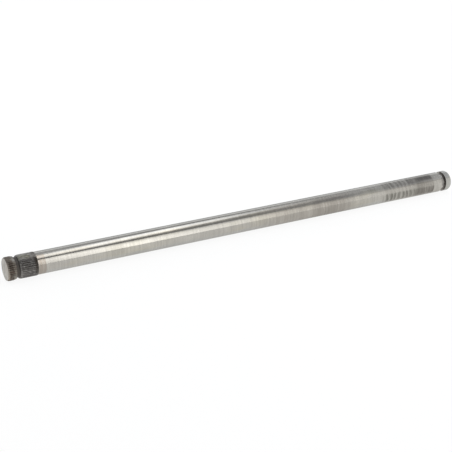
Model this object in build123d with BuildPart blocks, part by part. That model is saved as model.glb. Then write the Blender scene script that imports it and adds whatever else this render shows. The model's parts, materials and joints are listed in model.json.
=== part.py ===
import math
import os

from build123d import *

os.makedirs("parts", exist_ok=True)

# Straight axle of a small wheeled machine, turned and ground from one steel bar.
# +X runs along the axis from the serrated end to the plain end, +Z is up, and the
# origin is on the axis, half way between the two end faces. Sizes are in millimetres.

# Bar
overall_length = 444.5
journal_diameter = 19.05
end_chamfer_length = 1.3
end_chamfer_depth = 0.65

# Ring grooves, one beside each end
near_cap_length = 4.95  # full cap at the serrated end, from the end face to the worn bevel
worn_bevel_length = 2.2  # from there down to the groove
worn_bevel_depth = 0.5
near_groove_width = 3.0
near_groove_depth = 1.15  # below the ground journal
far_cap_length = 6.45
far_groove_width = 4.65
far_groove_depth = 2.0
floor_fillet = 0.4
edge_break = 0.25  # both edges of the far groove

# Rolled serration of the wheel seat, which also runs over the cap outside the groove
tooth_count = 36
tooth_angle = 60  # between the flanks of a gap
tooth_depth = 0.6
crest_rise = 0.28  # rolling lifts the crests above the journal
seat_length = 14.85  # from the groove to the end of the run-out
lead_in_length = 1.2
lead_in_depth = 0.45
crest_fall_length = 0.5  # slope from the crests down to the journal
run_out_length = 1.4  # over which the gaps rise to the journal
cut_margin = 1.0  # how far a cut is carried past the metal

near_end = -overall_length / 2
far_end = overall_length / 2
journal_radius = journal_diameter / 2
crest_radius = journal_radius + crest_rise
root_radius = crest_radius - tooth_depth
near_floor_radius = journal_radius - near_groove_depth
far_floor_radius = journal_radius - far_groove_depth
open_radius = crest_radius + cut_margin

bevel_start = near_end + near_cap_length
near_groove_start = bevel_start + worn_bevel_length
near_groove_end = near_groove_start + near_groove_width
seat_end = near_groove_end + seat_length
far_groove_end = far_end - far_cap_length
far_groove_start = far_groove_end - far_groove_width

# Cutter for one gap between two teeth: its root lies on the local Z axis, it opens
# towards local +X, and Z = 0 is the end face. Past the straight stretch it climbs out
# of the metal at the slope of the run-out.
gap_height = tooth_depth + cut_margin
gap_half_width = gap_height * math.tan(math.radians(tooth_angle / 2))
gap_straight_length = seat_end - run_out_length - near_end
run_out_rise = journal_radius - root_radius
climb = 1 + cut_margin / run_out_rise

with BuildPart() as tooth_gap:
    with BuildSketch(Plane.XY.offset(-cut_margin)):
        with BuildLine():
            Polyline((0, 0), (gap_height, -gap_half_width), (gap_height, gap_half_width), close=True)
        make_face()
    extrude(amount=cut_margin + gap_straight_length)
    extrude(
        tooth_gap.faces().sort_by(Axis.Z)[-1],
        amount=climb * math.hypot(run_out_rise, run_out_length),
        dir=(run_out_rise, 0, run_out_length),
    )

with BuildPart() as axle_shaft:
    # Turned bar: serrated end left at the crest diameter, then the ground journal
    with BuildSketch(Plane.XZ):
        with BuildLine():
            Polyline(
                (near_end, 0),
                (near_end, crest_radius - end_chamfer_depth),
                (near_end + end_chamfer_length, crest_radius),
                (seat_end - crest_fall_length, crest_radius),
                (seat_end, journal_radius),
                (far_end - end_chamfer_length, journal_radius),
                (far_end, journal_radius - end_chamfer_depth),
                (far_end, 0),
                close=True,
            )
        make_face()
    revolve(axis=Axis.X)

    # Teeth, with a crest on each of the Y and Z axes
    with Locations(Plane.YZ.offset(near_end)):
        with PolarLocations(root_radius, tooth_count, start_angle=180 / tooth_count):
            add(tooth_gap.part, mode=Mode.SUBTRACT)

    # Ring grooves, turned after the teeth were rolled: the near one has the worn bevel
    # on its cap side and the lead-in of the teeth on the other
    with BuildSketch(Plane.XZ) as groove_section:
        with BuildLine():
            Polyline(
                (bevel_start, open_radius),
                (bevel_start, crest_radius),
                (near_groove_start, crest_radius - worn_bevel_depth),
                (near_groove_start, near_floor_radius),
                (near_groove_end, near_floor_radius),
                (near_groove_end, crest_radius - lead_in_depth),
                (near_groove_end + lead_in_length, crest_radius),
                (near_groove_end + lead_in_length, open_radius),
                close=True,
            )
        make_face()
        with BuildLine():
            Polyline(
                (far_groove_start - edge_break, open_radius),
                (far_groove_start - edge_break, journal_radius),
                (far_groove_start, journal_radius - edge_break),
                (far_groove_start, far_floor_radius),
                (far_groove_end, far_floor_radius),
                (far_groove_end, journal_radius - edge_break),
                (far_groove_end + edge_break, journal_radius),
                (far_groove_end + edge_break, open_radius),
                close=True,
            )
        make_face()
        floor_corners = groove_section.vertices().group_by(Axis.Y)[:2]
        fillet(floor_corners[0] + floor_corners[1], radius=floor_fillet)
    revolve(axis=Axis.X, mode=Mode.SUBTRACT)

axle_shaft.part.label = "axle_shaft"
export_step(axle_shaft.part, "parts/axle_shaft.step")
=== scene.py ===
import json
import math

import bpy
import bmesh
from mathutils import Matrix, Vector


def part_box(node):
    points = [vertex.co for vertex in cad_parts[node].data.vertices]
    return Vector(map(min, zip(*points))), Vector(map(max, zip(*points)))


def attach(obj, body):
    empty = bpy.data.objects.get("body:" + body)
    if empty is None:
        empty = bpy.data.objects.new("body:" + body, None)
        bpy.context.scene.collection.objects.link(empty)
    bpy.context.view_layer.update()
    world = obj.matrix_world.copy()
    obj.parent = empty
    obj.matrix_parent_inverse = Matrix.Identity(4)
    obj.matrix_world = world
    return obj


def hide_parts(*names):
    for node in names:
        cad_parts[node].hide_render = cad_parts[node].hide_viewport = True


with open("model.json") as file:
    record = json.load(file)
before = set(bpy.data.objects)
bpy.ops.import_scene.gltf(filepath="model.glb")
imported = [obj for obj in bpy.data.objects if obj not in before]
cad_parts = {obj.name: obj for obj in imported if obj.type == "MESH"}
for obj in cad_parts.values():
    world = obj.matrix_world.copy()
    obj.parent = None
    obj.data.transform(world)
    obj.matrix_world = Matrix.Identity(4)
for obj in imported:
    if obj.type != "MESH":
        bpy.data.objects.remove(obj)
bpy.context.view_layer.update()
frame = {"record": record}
mm = 0.001
print("frame loaded")


# Small helpers

def toLinear(hexColour):
    channels = [int(hexColour[i:i + 2], 16) / 255 for i in (1, 3, 5)]
    return [c / 12.92 if c <= 0.04045 else ((c + 0.055) / 1.055) ** 2.4 for c in channels] + [1]


def addNode(tree, kind, settings=None, links=None):
    # settings are the node's own properties or its input sockets, links go from an output to an input
    node = tree.nodes.new(kind)
    for key, value in (settings or {}).items():
        if isinstance(key, str) and hasattr(node, key):
            setattr(node, key, value)
        else:
            node.inputs[key].default_value = value
    for key, output in (links or {}).items():
        tree.links.new(output, node.inputs[key])
    return node


def multiplied(tree, first, second):
    return addNode(tree, "ShaderNodeMath", {"operation": "MULTIPLY"}, {0: first, 1: second}).outputs[0]


def newMaterial(name):
    material = bpy.data.materials.new(name)
    material.use_nodes = True
    material.node_tree.nodes.clear()
    return material, material.node_tree


def deselectAll():
    if bpy.context.object and bpy.context.object.mode != "OBJECT":
        bpy.ops.object.mode_set(mode="OBJECT")
    bpy.ops.object.select_all(action="DESELECT")


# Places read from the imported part: the axle lies along X, from its serrated end to its plain end

mounts = {mount["name"]: mount for mount in frame["record"]["mounts"]}


def spanOf(name):
    middle = mounts[name]["pos_m"][0]
    half = mounts[name]["dims"]["length_mm"] * mm / 2
    return middle - half, middle + half


def radiusOf(name):
    return mounts[name]["dims"]["r_mm"] * mm


low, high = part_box("axle_shaft")
nearEnd, farEnd = low.x, high.x
nearGroove, farGroove = spanOf("near_ring_groove"), spanOf("far_ring_groove")
seatEnd = spanOf("serrated_seat")[1]
journalRadius, crestRadius = radiusOf("journal"), radiusOf("serrated_seat")
nearFloor, farFloor = radiusOf("near_ring_groove"), radiusOf("far_ring_groove")


# Camera: above and before the serrated end, looking along the axle

view = {
    "place": (-0.43328, -0.75858, 0.34865),
    "aim": (-0.0237, -0.0029, 0.0),
    "lens": 84.3,  # mm
    "sensor": 36,  # mm wide
    "clipStart": 0.01,
}


def addCamera():
    deselectAll()
    bpy.ops.object.camera_add(location=view["place"])
    camera = bpy.context.object
    camera.name = "photoCamera"
    aim = [b - a for a, b in zip(view["place"], view["aim"])]
    across = math.hypot(aim[0], aim[1])
    camera.rotation_euler = (math.atan2(across, -aim[2]), 0, math.atan2(-aim[0], aim[1]))
    camera.data.lens = view["lens"]
    camera.data.sensor_width = view["sensor"]
    camera.data.clip_start = view["clipStart"]
    bpy.context.scene.camera = camera


addCamera()
print("camera placed")


# Studio: a white floor and background, a dim ceiling with a soft box in it, a card before the axle and a
# pale wall behind it

studio = {
    "floorSize": 14.0,
    "floorColour": "#6c6c6b",
    "floorGlow": 0.89,  # what the camera and the metal see of it besides the light that falls on it
    "ambient": 0.8,
    "upperLight": "#f6f9ff",  # ceiling, soft box and back wall, a little cooler than floor and card
    "ceilingHeight": 1.2,
    "ceilingFront": -0.95,
    # greys from its front to its back, at three places from the serrated end's side to the plain end's
    "ceilingNear": [(-0.95, 0.24), (-0.55, 0.33), (-0.2, 0.40), (0.0, 0.50), (0.2, 0.64), (0.5, 0.84),
                    (0.85, 0.70), (1.1, 0.68), (1.25, 0.77), (1.47, 0.97), (1.6, 1.1)],
    "ceilingMiddle": [(-0.95, 0.31), (-0.55, 0.37), (-0.2, 0.41), (0.0, 0.45), (0.2, 0.48), (0.5, 0.41),
                      (0.85, 0.41), (1.1, 0.65), (1.25, 0.82), (1.47, 1.0), (1.6, 1.1)],
    "ceilingFar": [(-0.95, 0.90), (-0.36, 0.80), (0.2, 0.77), (0.6, 0.70), (0.85, 0.74), (1.1, 0.90),
                   (1.6, 1.25)],
    "nearToMiddle": (0.12, 0.42),
    "middleToFar": (0.80, 1.10),
    "boxStrength": 2.35,  # over the ceiling's own
    # the soft box's sides: the way that each faces in degrees, its place along it, and how softly it ends
    "boxSides": [(139.0, -0.485, 0.09), (149.0, -0.516, 0.08), (-35.5, 0.053, 0.09), (-92.3, -0.611, 0.09),
                 (180, -0.58, 0.18), (0, 0.01, 0.35)],
    "cardPlace": -1.6,
    "cardHeight": 2.03,
    "cardStrength": 3.3,
    "cardAcross": [(-2.5, 0.05), (0.12, 0.06), (0.27, 0.63), (0.36, 0.79), (0.45, 0.96), (0.53, 1.0),
                   (0.62, 0.66), (0.71, 0.58), (0.79, 0.54), (0.88, 0.41), (0.95, 0.48), (1.05, 0.50),
                   (1.2, 0.35), (1.46, 0.30), (3.0, 0.27)],
    "cardUpwards": [(0.0, 0.86), (0.62, 0.89), (1.0, 0.93), (1.25, 0.87), (1.6, 0.73), (2.03, 0.62)],
    "wallPlace": 1.6,
    "wallMiddle": [(0.0, 0.30), (0.25, 0.60), (0.5, 1.03), (0.83, 1.2), (1.2, 1.13)],
    "wallFar": [(0.0, 0.26), (0.25, 0.60), (0.5, 1.12), (0.83, 1.35), (1.2, 1.32)],
    "sideToSide": (-2.5, 3.0),
}


def seenRays(tree):
    # 1 for camera, glossy and transmission rays, so that the metal mirrors the background that the camera
    # sees
    rays = addNode(tree, "ShaderNodeLightPath")
    either = addNode(tree, "ShaderNodeMath", {"operation": "MAXIMUM"},
                     {0: rays.outputs["Is Camera Ray"], 1: rays.outputs["Is Glossy Ray"]})
    return addNode(tree, "ShaderNodeMath", {"operation": "MAXIMUM"},
                   {0: either.outputs[0], 1: rays.outputs["Is Transmission Ray"]}).outputs[0]


def addWorld():
    world = bpy.data.worlds.new("studioWorld")
    bpy.context.scene.world = world
    world.use_nodes = True
    tree = world.node_tree
    tree.nodes.clear()
    strength = addNode(tree, "ShaderNodeMapRange", {"To Min": studio["ambient"], "To Max": 1.0},
                       {"Value": seenRays(tree)})
    background = addNode(tree, "ShaderNodeBackground", {"Color": (1, 1, 1, 1)},
                         {"Strength": strength.outputs[0]})
    addNode(tree, "ShaderNodeOutputWorld", links={"Surface": background.outputs[0]})


def floorMaterial():
    # matt paper: most of its white is its own light, so that the axle's shadow stays faint
    material, tree = newMaterial("matt white paper")
    diffuse = addNode(tree, "ShaderNodeBsdfDiffuse", {"Color": toLinear(studio["floorColour"])})
    glow = addNode(tree, "ShaderNodeMath", {"operation": "MULTIPLY", 1: studio["floorGlow"]},
                   {0: seenRays(tree)})
    light = addNode(tree, "ShaderNodeEmission", {"Color": (1, 1, 1, 1)}, {"Strength": glow.outputs[0]})
    both = addNode(tree, "ShaderNodeAddShader", links={0: diffuse.outputs[0], 1: light.outputs[0]})
    addNode(tree, "ShaderNodeOutputMaterial", links={"Surface": both.outputs[0]})
    return material


def greys(tree, place, stops):
    # a run of greys through (place, grey) stops, where a grey may be brighter than 1
    brightest = max(grey for _, grey in stops)
    start, end = stops[0][0], stops[-1][0]
    share = addNode(tree, "ShaderNodeMapRange", {"From Min": start, "From Max": end}, {"Value": place})
    run = addNode(tree, "ShaderNodeValToRGB", links={"Fac": share.outputs[0]})
    elements = run.color_ramp.elements
    while len(elements) < len(stops):
        elements.new(0.5)
    for element, (stop, grey) in zip(elements, stops):
        element.position = (stop - start) / (end - start)
        element.color = [grey / brightest] * 3 + [1]
    return addNode(tree, "ShaderNodeMath", {"operation": "MULTIPLY", 1: brightest},
                   {0: run.outputs[0]}).outputs[0]


def boxShare(tree, place):
    # 1 inside the soft box's sides, falling to 0 across each of them
    share = None
    for way, reach, softness in studio["boxSides"]:
        facing = (math.cos(math.radians(way)), math.sin(math.radians(way)), 0)
        inwards = addNode(tree, "ShaderNodeVectorMath", {"operation": "DOT_PRODUCT", 1: facing}, {0: place})
        side = addNode(tree, "ShaderNodeMapRange", {
            "interpolation_type": "SMOOTHSTEP", "From Min": reach - softness, "From Max": reach + softness,
        }, {"Value": inwards.outputs["Value"]}).outputs[0]
        share = multiplied(tree, share, side) if share else side
    return share


def passing(tree, across, limits, before, after):
    # one run of greys that passes into another between two places across the studio
    start, end = limits
    share = addNode(tree, "ShaderNodeMapRange", {
        "interpolation_type": "SMOOTHSTEP", "From Min": start, "From Max": end,
    }, {"Value": across})
    return addNode(tree, "ShaderNodeMix", {"data_type": "FLOAT"},
                   {0: share.outputs[0], 2: before, 3: after}).outputs[0]


def glow(tree, strength, colour="#ffffff"):
    light = addNode(tree, "ShaderNodeEmission", {"Color": toLinear(colour)}, {"Strength": strength})
    addNode(tree, "ShaderNodeOutputMaterial", links={"Surface": light.outputs[0]})


def ceilingMaterial():
    material, tree = newMaterial("dim ceiling with a soft box")
    place = addNode(tree, "ShaderNodeTexCoord").outputs["Object"]
    apart = addNode(tree, "ShaderNodeSeparateXYZ", links={0: place})
    near, middle, far = [greys(tree, apart.outputs["Y"], studio[name])
                         for name in ("ceilingNear", "ceilingMiddle", "ceilingFar")]
    dim = passing(tree, apart.outputs["X"], studio["nearToMiddle"], near, middle)
    dim = passing(tree, apart.outputs["X"], studio["middleToFar"], dim, far)
    strength = addNode(tree, "ShaderNodeMath", {"operation": "MULTIPLY_ADD", 1: studio["boxStrength"]},
                       {0: boxShare(tree, place), 2: dim})
    glow(tree, strength.outputs[0], studio["upperLight"])
    return material


def cardMaterial():
    material, tree = newMaterial("bright card")
    place = addNode(tree, "ShaderNodeTexCoord").outputs["Object"]
    apart = addNode(tree, "ShaderNodeSeparateXYZ", links={0: place})
    both = multiplied(tree, greys(tree, apart.outputs["X"], studio["cardAcross"]),
                      greys(tree, apart.outputs["Z"], studio["cardUpwards"]))
    strength = addNode(tree, "ShaderNodeMath", {"operation": "MULTIPLY", 1: studio["cardStrength"]},
                       {0: both})
    glow(tree, strength.outputs[0])
    return material


def wallMaterial():
    material, tree = newMaterial("pale wall")
    place = addNode(tree, "ShaderNodeTexCoord").outputs["Object"]
    apart = addNode(tree, "ShaderNodeSeparateXYZ", links={0: place})
    middle, far = [greys(tree, apart.outputs["Z"], studio[name]) for name in ("wallMiddle", "wallFar")]
    strength = passing(tree, apart.outputs["X"], studio["middleToFar"], middle, far)
    glow(tree, strength, studio["upperLight"])
    return material


def addSheet(name, corners, material):
    # a flat sheet of the studio with four corners, which the camera doesn't see
    deselectAll()
    bpy.ops.mesh.primitive_plane_add(size=1)
    sheet = bpy.context.object
    sheet.name = name
    for vertex, corner in zip(sheet.data.vertices, (corners[0], corners[1], corners[3], corners[2])):
        vertex.co = corner
    sheet.data.materials.append(material)
    sheet.visible_camera = False
    sheet.visible_shadow = False


def uprightSheet(name, place, height, material):
    left, right = studio["sideToSide"]
    corners = [(left, place, low.z), (right, place, low.z), (right, place, height), (left, place, height)]
    addSheet(name, corners, material)


def addStudio():
    deselectAll()
    bpy.ops.mesh.primitive_plane_add(size=studio["floorSize"], location=(0, 0, low.z))
    floor = bpy.context.object
    floor.name = "floor"
    bpy.ops.object.transform_apply(location=True, rotation=True, scale=True)
    floor.data.materials.append(floorMaterial())
    left, right = studio["sideToSide"]
    front, back, height = studio["ceilingFront"], studio["wallPlace"], studio["ceilingHeight"]
    corners = [(left, front, height), (right, front, height), (right, back, height), (left, back, height)]
    addSheet("ceiling", corners, ceilingMaterial())
    uprightSheet("frontCard", studio["cardPlace"], studio["cardHeight"], cardMaterial())
    uprightSheet("backWall", back, height, wallMaterial())


addWorld()
addStudio()
print("studio built")


# Axle: turned from rings, then the gaps between its teeth are pressed in

axle = {
    "around": 360,  # one vertex a degree, so that each tooth gap has its own
    "teeth": 36,
    "toothDepth": 0.6 * mm,
    "gapHalfAngle": math.radians(30),
    "runOut": 1.4 * mm,
    "crestFall": 0.5 * mm,
    "endChamfer": (1.3 * mm, 0.65 * mm),  # along the axis, then inwards
    "wornBevel": (2.2 * mm, 0.5 * mm),
    "leadIn": (1.2 * mm, 0.45 * mm),
    "edgeBreak": 0.25 * mm,
    "floorFillet": 0.4 * mm,
    "filletSteps": 4,
    "journalRings": 24,
    "smoothAngle": math.radians(25),
    "slack": 0.01 * mm,  # places closer than this are taken as the same
    "fineSlack": 0.001 * mm,
    "wallNormal": 0.9,  # a face is a wall where its normal has more than this along the axle
}
rootRadius = crestRadius - axle["toothDepth"]
bevelStart = nearGroove[0] - axle["wornBevel"][0]


def filletRing(corner, side, step, floorRadius):
    # a point of the rounded corner between a groove's floor and one of its walls
    turn = math.pi / 2 * step / axle["filletSteps"]
    fillet = axle["floorFillet"]
    return corner + side * fillet * (1 - math.sin(turn)), floorRadius + fillet * (1 - math.cos(turn))


def turnedRings():
    # (place along X, radius) of each ring, from the serrated end to the plain end
    steps = range(axle["filletSteps"] + 1)
    along, inwards = axle["endChamfer"]
    rings = [(nearEnd, crestRadius - inwards), (nearEnd + along, crestRadius), (bevelStart, crestRadius)]
    rings.append((nearGroove[0], crestRadius - axle["wornBevel"][1]))
    rings += [filletRing(nearGroove[0], 1, s, nearFloor) for s in reversed(steps)]
    rings += [filletRing(nearGroove[1], -1, s, nearFloor) for s in steps]
    leadAlong, leadInwards = axle["leadIn"]
    rings += [(nearGroove[1], crestRadius - leadInwards), (nearGroove[1] + leadAlong, crestRadius)]
    rings += [(seatEnd - axle["runOut"], crestRadius), (seatEnd - axle["crestFall"], crestRadius)]
    edge = axle["edgeBreak"]
    journalEnd = farGroove[0] - edge
    count = axle["journalRings"]
    rings += [(seatEnd + (journalEnd - seatEnd) * i / count, journalRadius) for i in range(count + 1)]
    rings.append((farGroove[0], journalRadius - edge))
    rings += [filletRing(farGroove[0], 1, s, farFloor) for s in reversed(steps)]
    rings += [filletRing(farGroove[1], -1, s, farFloor) for s in steps]
    rings += [(farGroove[1], journalRadius - edge), (farGroove[1] + edge, journalRadius)]
    rings += [(farEnd - along, journalRadius), (farEnd, journalRadius - inwards)]
    return rings


def turnBar(rings):
    # the serrated end's face, drawn out ring by ring
    deselectAll()
    place, radius = rings[0]
    bpy.ops.mesh.primitive_circle_add(vertices=axle["around"], radius=radius, fill_type="NGON",
                                      location=(place, 0, 0), rotation=(0, math.pi / 2, 0))
    bar = bpy.context.object
    bpy.ops.object.transform_apply(location=True, rotation=True, scale=True)
    bpy.ops.object.mode_set(mode="EDIT")
    bpy.ops.mesh.select_mode(type="FACE")
    bpy.ops.mesh.select_all(action="SELECT")
    for nextPlace, nextRadius in rings[1:]:
        bpy.ops.mesh.extrude_region_move(TRANSFORM_OT_translate={"value": (nextPlace - place, 0, 0)})
        factor = nextRadius / radius
        bpy.ops.transform.resize(value=(1, factor, factor), center_override=(nextPlace, 0, 0))
        place, radius = nextPlace, nextRadius
    bpy.ops.mesh.select_all(action="SELECT")
    bpy.ops.mesh.normals_make_consistent(inside=False)
    bpy.ops.object.mode_set(mode="OBJECT")
    return bar


def gapFloor(place):
    # radius of a gap's root: level along the teeth, then rising to the journal at the run-out
    rise = max(0, place - (seatEnd - axle["runOut"])) / axle["runOut"]
    return rootRadius + rise * (journalRadius - rootRadius)


def pressGaps(bar, rings):
    # every tooth has a crest five degrees from the middle of each gap beside it
    pitch = 360 / axle["teeth"]
    degreeWidth = crestRadius * math.radians(1)
    flankRise = degreeWidth / math.tan(axle["gapHalfAngle"])  # for each degree off the root
    slack, fineSlack = axle["slack"], axle["fineSlack"]
    toothed = [ring for ring in rings if ring[0] < seatEnd - slack and ring[1] > rootRadius + slack]
    bpy.ops.object.mode_set(mode="EDIT")
    bpy.ops.mesh.select_mode(type="VERT")
    for place, radius in toothed:
        for offset in (0, 1, 2):
            wanted = min(radius, gapFloor(place) + offset * flankRise)
            if wanted > radius - fineSlack:
                continue
            bpy.ops.mesh.select_all(action="DESELECT")
            mesh = bmesh.from_edit_mesh(bar.data)
            for vertex in mesh.verts:
                _, y, z = vertex.co
                if abs(vertex.co.x - place) > fineSlack or abs(math.hypot(y, z) - radius) > slack:
                    continue
                turn = math.degrees(math.atan2(z, y)) % pitch
                if round(abs(turn - pitch / 2)) == offset:
                    vertex.select = True
            mesh.select_flush_mode()
            bmesh.update_edit_mesh(bar.data)
            factor = wanted / radius
            bpy.ops.transform.resize(value=(1, factor, factor), center_override=(place, 0, 0))
    bpy.ops.mesh.select_all(action="DESELECT")
    bpy.ops.object.mode_set(mode="OBJECT")


def buildAxle():
    rings = turnedRings()
    bar = turnBar(rings)
    bar.name = "axleShaft"
    pressGaps(bar, rings)
    bpy.ops.object.shade_smooth_by_angle(angle=axle["smoothAngle"])
    return bar


shaft = buildAxle()
print("axle turned and serrated", len(shaft.data.vertices), "vertices")


# Finishes. Places along the axle are in millimetres from the serrated end's face, and places round it in
# degrees upwards from the side that faces the camera's half of the row (-Y).

def objectPlace(tree):
    return addNode(tree, "ShaderNodeTexCoord").outputs["Object"]


def alongAxle(tree):
    x = addNode(tree, "ShaderNodeSeparateXYZ", links={0: objectPlace(tree)}).outputs["X"]
    return addNode(tree, "ShaderNodeMapRange", {
        "clamp": False, "From Min": nearEnd, "From Max": farEnd, "To Max": (farEnd - nearEnd) / mm,
    }, {"Value": x}).outputs[0]


def roundAxle(tree):
    apart = addNode(tree, "ShaderNodeSeparateXYZ", links={0: objectPlace(tree)})
    forwards = addNode(tree, "ShaderNodeMath", {"operation": "MULTIPLY", 1: -1.0},
                       {0: apart.outputs["Y"]}).outputs[0]
    turn = addNode(tree, "ShaderNodeMath", {"operation": "ARCTAN2"}, {0: apart.outputs["Z"], 1: forwards})
    return addNode(tree, "ShaderNodeMath", {"operation": "DEGREES"}, {0: turn.outputs[0]}).outputs[0]


def stretch(tree, place, start, end, soft, endSoft=None):
    # 1 between two places, fading over a soft width at each of them
    endSoft = endSoft or soft
    rise = addNode(tree, "ShaderNodeMapRange", {
        "interpolation_type": "SMOOTHSTEP", "From Min": start - soft, "From Max": start + soft,
    }, {"Value": place})
    fall = addNode(tree, "ShaderNodeMapRange", {
        "interpolation_type": "SMOOTHSTEP", "From Min": end - endSoft, "From Max": end + endSoft,
        "To Min": 1.0, "To Max": 0.0,
    }, {"Value": place})
    return multiplied(tree, rise.outputs[0], fall.outputs[0])


patchStyle = {
    "turn": 1.8,  # degrees by which grinding lines lean
    "roughness": 0.55,
    "between": (0.3, 0.7),  # values of the noise at a patch's least and most cover
}


def patchNoise(tree, length, width, least=0.0, most=1.0, detail=3.0, lean=-3.9):
    # patches of a given length along the axle and width round it, in millimetres; on the side that faces
    # the camera they lean down towards the plain end by some degrees
    drawn = addNode(tree, "ShaderNodeMapping", {
        "vector_type": "TEXTURE", "Rotation": (0, math.radians(lean), math.radians(patchStyle["turn"])),
        "Scale": (length * mm, width * mm, width * mm),
    }, {"Vector": objectPlace(tree)})
    noise = addNode(tree, "ShaderNodeTexNoise", {
        "Scale": 1.0, "Detail": detail, "Roughness": patchStyle["roughness"],
    }, {"Vector": drawn.outputs[0]})
    start, end = patchStyle["between"]
    return addNode(tree, "ShaderNodeMapRange", {
        "From Min": start, "From Max": end, "To Min": least, "To Max": most,
    }, {"Value": noise.outputs[0]}).outputs[0]


def plain(tree, colour):
    shade = addNode(tree, "ShaderNodeRGB")
    shade.outputs[0].default_value = toLinear(colour)
    return shade.outputs[0]


def addFilm(tree, colour, cover, film):
    # a film of another colour laid over the metal where its cover is 1
    return addNode(tree, "ShaderNodeMix", {"data_type": "RGBA", 7: toLinear(film)},
                   {0: cover, 6: colour}).outputs[2]


def scaled(tree, colour, level):
    return addNode(tree, "ShaderNodeVectorMath", {"operation": "SCALE"},
                   {0: colour, "Scale": level}).outputs[0]


def remainder(tree, share):
    return addNode(tree, "ShaderNodeMath", {"operation": "SUBTRACT", 0: 1.0}, {1: share}).outputs[0]


def metalSurface(tree, colour, settings, links=None):
    surface = addNode(tree, "ShaderNodeBsdfPrincipled", {"Metallic": 1.0, **settings},
                      {"Base Color": colour, **(links or {})})
    addNode(tree, "ShaderNodeOutputMaterial", links={"Surface": surface.outputs[0]})


def filmCover(tree, along, around, film):
    # where a film lies: its patches, its stretch of the axle, the side that it covers, and what wore
    # through it
    cover = patchNoise(tree, *film["patches"])
    if "along" in film:
        cover = multiplied(tree, cover, stretch(tree, along, *film["along"]))
    if "round" in film:
        cover = multiplied(tree, cover, stretch(tree, around, *film["round"]))
    if "wornBy" in film:
        cover = multiplied(tree, cover, remainder(tree, spiralLine(tree, along, around, film["wornBy"])))
    return cover


def addFilms(tree, colour, along, around, films):
    for film in films.values():
        colour = addFilm(tree, colour, filmCover(tree, along, around, film), film["colour"])
    return colour


def spiralLine(tree, along, around, spiral):
    # one clear line that winds round the axle, where a bush wore through the film
    start = spiral["at"]
    turns = addNode(tree, "ShaderNodeMapRange", {
        "clamp": False, "From Min": start, "From Max": start + spiral["lead"], "To Max": 360.0,
    }, {"Value": along})
    sway = patchNoise(tree, *spiral["sway"])
    both = addNode(tree, "ShaderNodeMath", {"operation": "ADD"}, {0: turns.outputs[0], 1: around})
    swayed = addNode(tree, "ShaderNodeMath", {"operation": "ADD"}, {0: both.outputs[0], 1: sway})
    turned = addNode(tree, "ShaderNodeMath", {"operation": "RADIANS"}, {0: swayed.outputs[0]})
    wave = addNode(tree, "ShaderNodeMath", {"operation": "COSINE"}, {0: turned.outputs[0]})
    edge, middle = spiral["edges"]
    line = addNode(tree, "ShaderNodeMapRange", {
        "interpolation_type": "SMOOTHSTEP", "From Min": edge, "From Max": middle,
    }, {"Value": wave.outputs[0]})
    kept = multiplied(tree, line.outputs[0], patchNoise(tree, *spiral["patches"]))
    return multiplied(tree, kept, stretch(tree, along, *spiral["along"]))


# Films over the metal, from the lowest to the topmost. "along" and "round" are (start, end, soft width and,
# where it differs, the end's own), and "patches" are (length, width, least cover, most cover, detail, lean).
# Grinding rings and rolled streaks are drawn coarser than real ones, as fine as the picture can show.

fineRings = (1.6, 30, 0.5, 1.0)
wornRings = (2.2, 14, 0.3, 1.0)
bushWear = {
    "along": (361.0, 398.0, 5.0, 9.0),
    "at": 365.5,
    "lead": 4.65,  # mm from one turn to the next
    "sway": (7, 12, -60.0, 60.0, 1.0),  # patches that push the line to and fro, by up to 60 degrees
    "edges": (-0.6, 0.9),  # of a wave that is 1 at the line's middle and -1 half way to the next turn
    "patches": (5, 9, 0.4, 1.0),
}

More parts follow.
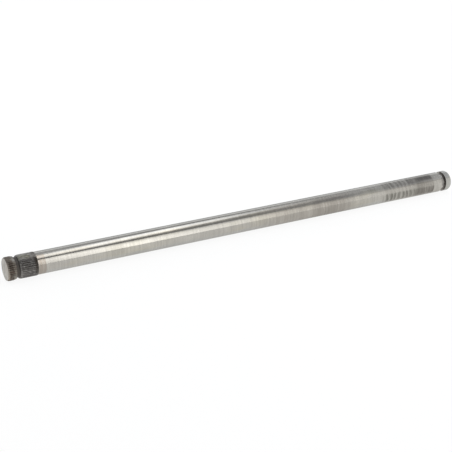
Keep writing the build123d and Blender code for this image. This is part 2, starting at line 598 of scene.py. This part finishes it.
journalFinish = {
    "steel": "#b2afa8",
    "roughness": 0.16,
    "hazyRoughness": 0.24,
    "anisotropy": 0.9,
    "grain": 0.25,  # of a turn, from the axle's length to the rings round it
    "edgeTint": "#e1e1e0",  # steel mirrors a little less than the shader's own at a grazing angle
    "rings": (1.4, 25, 0.925, 1.075),
    "mottling": (14, 9, 0.95, 1.05, 2.0),
    "hazy": {"along": (238, 330, 22), "patches": fineRings},
    "films": {
        # painted reflection: lighter steel on a stretch of the side that faces the camera, brightening what
        # it mirrors
        "clearer": {"colour": "#c0bdb6", "along": (98, 128, 8), "round": (-35, 30, 12),
                    "patches": (20, 14, 0.4, 0.9)},
        "oldOil": {"colour": "#aca796", "along": (28, 395, 10), "round": (-45, 56, 14),
                   "patches": (46, 16, -0.4, 0.5)},
        # painted reflection: a warm tint on a narrow band above the front, along the stripe that the lights
        # make in the steel
        "oilLine": {"colour": "#b5aea0", "along": (26, 300, 10), "round": (42, 59, 6),
                    "patches": (30, 20, 0.4, 1.0)},
        # painted reflection: a plainer grey over the underside, where the steel mirrors the floor
        "underside": {"colour": "#b0afab", "along": (26, 366, 10), "round": (-140, -22, 8),
                      "patches": (30, 20, 0.5, 1.0)},
        "haze": {"colour": "#a19c94", "along": (238, 330, 22), "round": (-60, 71, 14),
                 "patches": fineRings},
        "hazeCore": {"colour": "#96918a", "along": (286, 322, 8), "round": (-60, 67, 14),
                     "patches": fineRings},
        "stain": {"colour": "#9b9288", "along": (24.0, 31.2, 0.6), "round": (-60, 42, 6),
                  "patches": fineRings},
        "stainTop": {"colour": "#a99e90", "along": (24.0, 31.2, 0.8), "round": (42, 66, 7),
                     "patches": (5, 30, 0.5, 1.0)},
        "stainEdge": {"colour": "#8f857b", "along": (30.6, 31.5, 0.4), "round": (-35, 30, 10),
                      "patches": (1.6, 30, 0.1, 0.6)},
        "worn": {"colour": "#a29e97", "along": (366.0, 423.5, 5.0, 0.5), "patches": wornRings,
                 "wornBy": bushWear},
        # worn oxide, darker on a band above the front and on one below it: the wear is real, the darkening
        # by band is painted dimmer reflection
        "wornTop": {"colour": "#7a7772", "along": (366.0, 410.0, 5.0, 4.0), "round": (39, 87, 8),
                    "patches": wornRings, "wornBy": bushWear},
        "wornLow": {"colour": "#6a6962", "along": (364.0, 410.0, 5.0, 4.0), "round": (-37, 10, 8),
                    "patches": wornRings, "wornBy": bushWear},
        "dark": {"colour": "#938f88", "along": (402.0, 423.5, 3.0, 0.5), "patches": wornRings},
        # the dark band is real oxide; darkLow and darkTop darken it further on a band at the front and one
        # above it, as painted dimmer reflection
        "darkLow": {"colour": "#736f69", "along": (402.0, 423.5, 3.0, 0.5), "round": (-35, 8, 7),
                    "patches": wornRings},
        "darkTop": {"colour": "#6e6b67", "along": (404.0, 422.8, 3.0, 0.8), "round": (50, 80, 8),
                    "patches": (2.2, 20, 0.75, 1.0)},
        # painted reflection: a darker grey along the top and back of the far stretch, dimming what the steel
        # mirrors there
        "dullRim": {"colour": "#918e88", "along": (366.0, 450.0, 8.0), "round": (94, 150, 7),
                    "patches": (4, 9, 0.4, 1.0)},
        "cooler": {"colour": "#b3b3ae", "along": (437.0, 450.0, 0.5), "round": (-70, 95, 12),
                   "patches": (3, 6, 0.5, 1.0)},
    },
}


def groundSteel():
    # carbon steel, cylindrically ground: a light's stripe stays sharp round it and smears along it,
    # over fine rings, old oil stains and a stretch of worn oxide near the plain end, and painted
    # reflections:
    # films on bands round it that lighten, tint and dim what it mirrors
    material, tree = newMaterial("ground carbon steel")
    along, around = alongAxle(tree), roundAxle(tree)
    colour = addFilms(tree, plain(tree, journalFinish["steel"]), along, around, journalFinish["films"])
    rings = patchNoise(tree, *journalFinish["rings"])
    level = multiplied(tree, rings, patchNoise(tree, *journalFinish["mottling"]))
    roughness = addNode(tree, "ShaderNodeMapRange", {
        "To Min": journalFinish["roughness"], "To Max": journalFinish["hazyRoughness"],
    }, {"Value": filmCover(tree, along, around, journalFinish["hazy"])})
    tangent = addNode(tree, "ShaderNodeTangent", {"direction_type": "RADIAL", "axis": "X"})
    metalSurface(tree, scaled(tree, colour, level),
                 {"Anisotropic": journalFinish["anisotropy"],
                  "Anisotropic Rotation": journalFinish["grain"],
                  "Specular Tint": toLinear(journalFinish["edgeTint"])},
                 {"Tangent": tangent.outputs[0], "Roughness": roughness.outputs[0]})
    return material


def dullSteel(finish):
    # a surface that spreads what it mirrors evenly, under films of oil, dirt or oxide
    material, tree = newMaterial(finish["name"])
    along, around = alongAxle(tree), roundAxle(tree)
    colour = addFilms(tree, plain(tree, finish["base"]), along, around, finish["films"])
    metalSurface(tree, colour, {"Roughness": finish["roughness"]})
    return material


# steel rolled into teeth, under a film of dark oil and oxide that covers the front and underside but not
# the top: partly real film, and partly painted shade below with painted light on the top
seatFinish = {
    "name": "rolled steel with dark film",
    "base": "#b3b0aa",
    "roughness": 0.6,
    "films": {
        "olive": {"colour": "#aba893", "round": (53, 87, 8), "patches": (6, 5, -0.4, 0.8)},
        # painted shade: the front, low and bottom films darken only the front and underside, so that the top
        # stays light as painted light from above; the dark film itself is partly real
        "front": {"colour": "#74716e", "round": (-7, 53, 6), "patches": (5, 6, 0.75, 1.0)},
        "low": {"colour": "#7b7876", "round": (-60, -7, 8), "patches": (5, 6, 0.7, 1.0)},
        "bottom": {"colour": "#6b6866", "along": (12.5, 25.5, 1.0), "round": (-65, -31, 6),
                   "patches": (6, 6, 0.4, 0.9)},
        "streaks": {"colour": "#53504c", "patches": (4.0, 1.1, -0.2, 0.8, 3.0, 20)},
        "glints": {"colour": "#bab7b3", "round": (-40, 60, 10), "patches": (2.4, 0.6, -2.0, 0.8, 2.0, 24)},
        # painted highlight: the lead-in chamfer made lighter on the front, where it catches the light
        "wornLeadIn": {"colour": "#a09d9a", "along": (10.1, 11.6, 0.3), "round": (-33, 35, 14),
                       "patches": (1, 3, 0.2, 0.9)},
        "ring": {"colour": "#4c4640", "along": (22.6, 25.4, 0.6), "round": (-25, 59, 8),
                 "patches": (2, 4, 0.5, 1.0)},
        "topRing": {"colour": "#6f6b66", "along": (21.8, 24.9, 0.8), "round": (71, 120, 10),
                    "patches": (2, 4, 0.4, 0.9)},
    },
}


# the same film on the cap, browner, with spots of rust and worn off parts of its bevel; its end chamfer is
# painted lighter on the front and underside and left dark at the top, as painted light and shade
capFinish = {
    "name": "rolled steel with rust spots",
    "base": "#968f85",
    "roughness": 0.6,
    "films": {
        "dirt": {"colour": "#534d47", "patches": (2.2, 1.6, -0.1, 0.8, 3.0, 20)},
        "dirtRing": {"colour": "#493f37", "along": (1.2, 4.8, 0.6), "round": (-17, 57, 8),
                     "patches": (2.5, 3, 0.3, 0.85)},
        "underside": {"colour": "#4b453f", "along": (-1.0, 5.0, 0.6), "round": (-110, -26, 8),
                      "patches": (2.5, 3, 0.3, 0.9)},
        "rust": {"colour": "#62463a", "patches": (1.8, 1.6, -0.9, 0.6)},
        # painted light and shade: the end chamfer lighter on its front and underside, its top left dark in
        # painted shade
        "rim": {"colour": "#ada499", "along": (-1.0, 1.25, 0.25), "round": (-50, 51, 14),
                "patches": (2, 4, 0.6, 1.0)},
        "wornAbove": {"colour": "#a9a7a1", "along": (4.9, 7.3, 0.4), "round": (54, 86, 6),
                      "patches": (2, 3, 0.4, 1.0)},
        "wornBelow": {"colour": "#95928b", "along": (4.6, 7.3, 0.5), "round": (-45, -13, 8),
                      "patches": (2, 3, 0.4, 1.0)},
    },
}


# packed dirt and old oil at the bottom of a ring groove, nearly black and dull, and thinner in the far one;
# the darkness is partly painted shade of the recess
dirtAndShadeFinish = {
    "name": "packed dirt and oil",
    "base": "#56524e",
    "roughness": 0.5,
    "films": {
        "grease": {"colour": "#7a7671", "along": (430.0, 445.0, 1.0), "patches": (1.5, 3, 0.7, 1.0)},
        # painted light: in the far groove the dark finish is made lighter over the top and back and
        # underneath, leaving painted shade on the front
        "cleanTop": {"colour": "#b8b5af", "along": (430.0, 445.0, 1.0), "round": (101, 181, 5),
                     "patches": (1.5, 3, 0.8, 1.0)},
        "cleanUnder": {"colour": "#98958f", "along": (430.0, 445.0, 1.0), "round": (-181, -48, 12),
                       "patches": (1.5, 3, 0.8, 1.0)},
    },
}


# plain turned steel of the faces and the far groove, duller than the ground journal, with marks left by
# wiping and handling on the faces; the far groove's floor is darker on its front as painted shade, with dirt
# and a painted shadow along its far wall
turnedFinish = {
    "name": "turned carbon steel",
    "base": "#9b9994",
    "roughness": 0.38,
    "films": {
        "dull": {"colour": "#857f77", "patches": (3, 2.5, 0.0, 0.5)},
        "warm": {"colour": "#aea394", "along": (-1.0, 0.1, 0.05), "round": (-50, 60, 25),
                 "patches": (3, 3, 0.1, 0.8)},
        "strokes": {"colour": "#cbc8c0", "along": (-1.0, 0.1, 0.05),
                    "patches": (7, 0.9, -0.3, 0.9, 3.0, 90)},
        "smears": {"colour": "#766f65", "along": (-1.0, 0.1, 0.05),
                   "patches": (5, 1.3, -0.5, 0.7, 2.0, 84)},
        "grooveFloor": {"colour": "#d2cfca", "along": (432.0, 439.0, 0.5), "patches": (1, 2, 0.6, 1.0)},
        # painted shade: the far groove's floor darker on its front
        "grooveFront": {"colour": "#8d8a85", "along": (432.0, 439.0, 0.5), "round": (-18, 50, 10),
                        "patches": (1, 2, 0.7, 1.0)},
        # dirt and painted shadow: a dark strip of the floor along the far wall, on its front
        "grooveDirt": {"colour": "#5d5955", "along": (436.9, 440.0, 0.3), "round": (-12, 68, 8),
                       "patches": (1, 2, 0.7, 1.0)},
    },
}


def finishOf(face):
    # the finish of a face of the turned bar, by its place and the way that it faces
    place = face.center.x
    upright = abs(face.normal.x) > axle["wallNormal"]
    slack = axle["slack"]
    if upright and (place < nearEnd + slack or place > farEnd - slack):
        return "turned"
    if place < nearGroove[0] - slack:
        return "cap"
    # both ring grooves take the dark groove finish: packed dirt, and painted shade of the recess
    if place < nearGroove[1] + slack:
        return "dirt"
    if place < seatEnd:
        return "seat"
    if farGroove[0] < place < farGroove[1] + axle["edgeBreak"]:
        return "dirt" if upright or place > farGroove[1] - axle["floorFillet"] else "turned"
    return "journal"


def finishShaft(bar):
    finishes = {
        "journal": groundSteel(),
        "seat": dullSteel(seatFinish),
        "cap": dullSteel(capFinish),
        "dirt": dullSteel(dirtAndShadeFinish),
        "turned": dullSteel(turnedFinish),
    }
    for material in finishes.values():
        bar.data.materials.append(material)
    slots = list(finishes)
    for face in bar.data.polygons:
        face.material_index = slots.index(finishOf(face))


finishShaft(shaft)
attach(shaft, "root")
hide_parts("axle_shaft")
print("finishes applied")

bpy.context.scene.view_settings.view_transform = "Standard"
